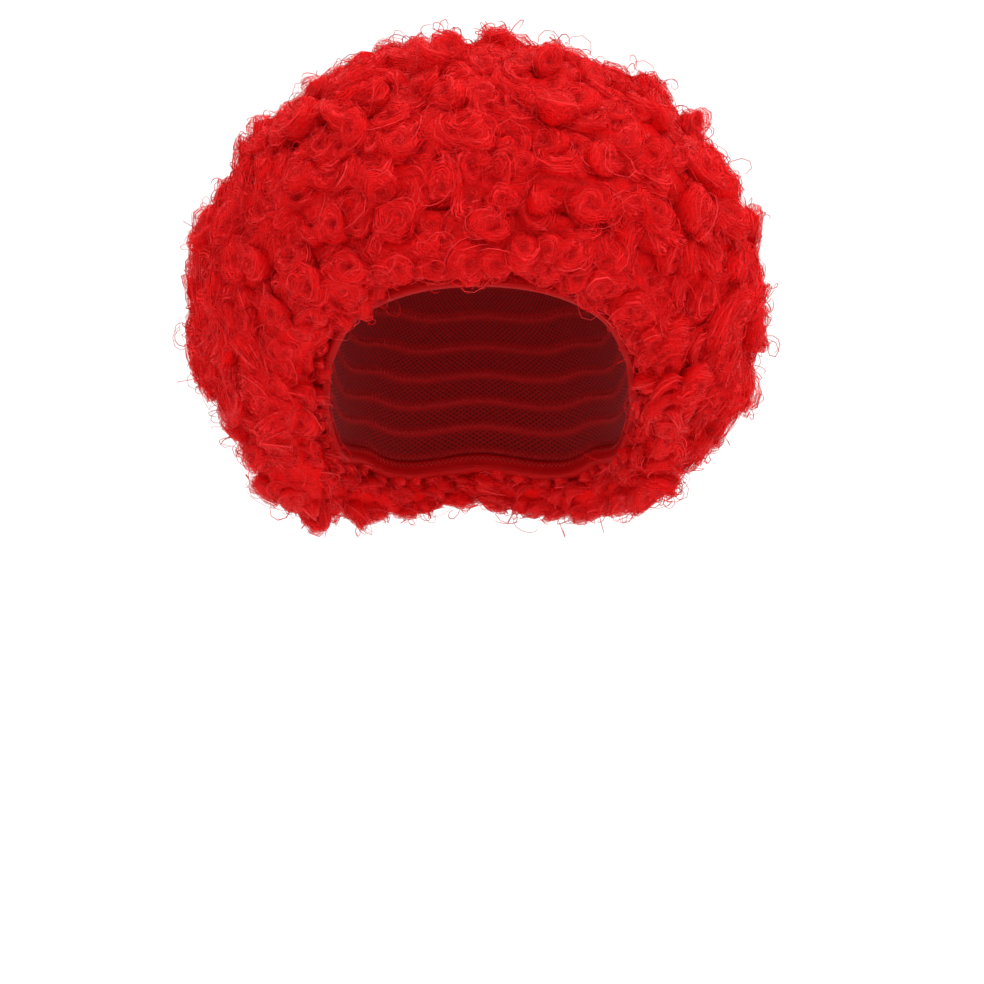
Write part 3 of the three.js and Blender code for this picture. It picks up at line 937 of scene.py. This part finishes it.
# elastic binding: the sum of fine ribs across the fold, warp threads along it and slow wear
def elasticBinding():
    shader = Shader("red elastic binding")
    around, across, _ = shader.split(shader.uv())
    rib = shader.ripple(across * bandShape["ribs"])
    warp = shader.ripple(around * bandShape["warp"])
    worn = shader.noise(shader.scaled(shader.uv(), bandShape["wornScale"]), 1.0, bandShape["wornDetail"])
    first, ribbed, warped, wear = bandShape["level"]
    level = first + rib * ribbed + warp * warped + worn * wear
    rough, rougher = bandShape["roughness"]
    return shader.finish({
        "Base Color": shader.mix(level, (*bandShape["deep"], 1), (*bandShape["bright"], 1)),
        "Roughness": rough + worn * rougher, "Specular IOR Level": bandShape["gloss"],
        "Normal": shader.bump(rib * 0.5 + warp * 0.5, bandShape["reliefShare"], bandShape["relief"]),
    })


# the band: its folded section carried round the hem, rippling off the cap by a sine of the azimuth
def hemBand(material):
    section = np.array(bandShape["section"])
    azimuth = np.linspace(0, 360, bandShape["columns"], endpoint=False)
    along, azimuth = np.meshgrid(section[:, 0], azimuth, indexing="ij")
    swells, phase = bandShape["gatherSwell"]
    turn = np.radians(azimuth)
    ripple = np.sin(turn * bandShape["gathers"]) * np.sin(turn * swells + phase)
    depth = section[:, 1:] - bandShape["wallMiddle"]
    outward = np.sign(depth) * (np.abs(depth) > bandShape["outsideFrom"])
    off = section[:, 1:] + bandShape["gatherDepth"] * ripple * outward
    angle = hemValue(azimuth, "angle") + angleAlong(along, azimuth)
    quads, uv = gridFaces(*along.shape, True)
    return addMesh("band_binding", offHollow(angle, azimuth, off).reshape(-1, 3), [quads], [uv], material)


netMaterial, threadMaterial, bandMaterial = stretchNet(), sewingThread(), elasticBinding()
capPiece = capWall(netMaterial)
weftSeams = [zigzagSeam(weftRow(share), sewing["weftOff"]) for share in weftEnds]
seamPiece = addParts("weft_stitches", weftSeams, threadMaterial)
bandPiece = hemBand(bandMaterial)
hemSeams = [zigzagSeam(hemRow, off) for off in sewing["hemOff"]]
hemPiece = addParts("hem_stitches", hemSeams, threadMaterial)
for piece, node, slot in (
    (capPiece, "wig_cap", "cap_net"), (seamPiece, "wig_cap", "cap_net"),
    (bandPiece, "hem_band", "hem_elastic"), (hemPiece, "hem_band", "hem_elastic"),
):
    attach(piece, "root")
    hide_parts(node)

# stage: one pale bowl, a flat floor that curves up into a wall all round
stageShape = {
    "floor": -390, "rings": [400, 1200], "flat": 1900, "bend": 900, "bendRows": 20, "top": 1700,
    "columns": 96,
    "pale": (0.93, 0.95), "grainScale": (2, 2, 2), "roughness": 0.9,
}


# stage paint: between two pale tones by slow noise
def stagePaint():
    shader = Shader("pale stage")
    place = shader.node("ShaderNodeTexCoord", {}, {}, "Object")
    grain = shader.noise(shader.scaled(place, stageShape["grainScale"]), 1.0)
    first, second = ((tone, tone, tone, 1) for tone in stageShape["pale"])
    paint = shader.mix(grain, first, second)
    return shader.finish({"Base Color": paint, "Roughness": stageShape["roughness"]})


# the bowl's profile: along the floor, round a quarter circle and up the wall, turned about the upright axis
def stageBowl():
    flat, bend, rings = stageShape["flat"], stageShape["bend"], stageShape["rings"]
    quarter = np.linspace(0, np.pi / 2, stageShape["bendRows"])
    reach = np.concatenate([rings, flat + bend * np.sin(quarter), [flat + bend]])
    height = np.concatenate([[0] * len(rings), bend * (1 - np.cos(quarter)), [stageShape["top"]]])
    height = height + stageShape["floor"]
    turn = np.linspace(0, fullTurn, stageShape["columns"], endpoint=False)
    upright = np.repeat(height[:, None], len(turn), 1)
    bowl = np.stack([np.outer(reach, np.cos(turn)), np.outer(reach, np.sin(turn)), upright], -1)
    quads, uv = gridFaces(len(reach), len(turn), False)
    around = np.arange(len(turn))
    middle = np.full(len(turn), len(reach) * len(turn))
    fan = np.stack([middle, around, np.roll(around, -1)], -1)
    points = np.concatenate([bowl.reshape(-1, 3), [[0, 0, stageShape["floor"]]]])
    return addMesh("stage_bowl", points, [quads, fan], [uv, np.zeros((len(fan), 3, 2))], stagePaint())


stageBowl()

# camera: straight on, near the level of the wig's lower edge, with scale the width of a pixel
cameraView = {"place": (6, -1500, -152.5), "scale": 0.485, "frame": 984, "sensor": 36}
cameraData = bpy.data.cameras.new("camera")
cameraData.sensor_width = cameraView["sensor"]
frameWidth = cameraView["scale"] * cameraView["frame"]
cameraData.lens = cameraView["sensor"] * -cameraView["place"][1] / frameWidth
camera = bpy.data.objects.new("camera", cameraData)
camera.location = np.array(cameraView["place"]) * mm
camera.rotation_euler = (np.pi / 2, 0, 0)
scene.collection.objects.link(camera)
scene.camera = camera

# light: an even pale room, a large soft box at the right, one above and a faint fill at the left
roomLight = {"world": 1.15, "aim": (0, 0, -60), "boxes": [
    {"name": "key", "place": (1000, -1050, 900), "size": 1300, "watts": 5.5},
    {"name": "top", "place": (220, -200, 1500), "size": 1600, "watts": 11},
    {"name": "fill", "place": (-800, -1500, 200), "size": 1200, "watts": 0.5},
]}
world = bpy.data.worlds.new("room")
world.use_nodes = True
world.node_tree.nodes["Background"].inputs["Color"].default_value = (1, 1, 1, 1)
world.node_tree.nodes["Background"].inputs["Strength"].default_value = roomLight["world"]
scene.world = world
for box in roomLight["boxes"]:
    lamp = bpy.data.lights.new(box["name"], "AREA")
    lamp.size = box["size"] * mm
    lamp.energy = box["watts"]
    light = bpy.data.objects.new(box["name"], lamp)
    light.location = np.array(box["place"]) * mm
    aim = np.array(roomLight["aim"]) - np.array(box["place"])
    tip = np.arccos(-aim[2] / np.linalg.norm(aim))
    light.rotation_euler = (tip, 0, np.arctan2(aim[1], aim[0]) - np.pi / 2)
    scene.collection.objects.link(light)
scene.view_settings.view_transform = "Standard"
print("camera and light set")
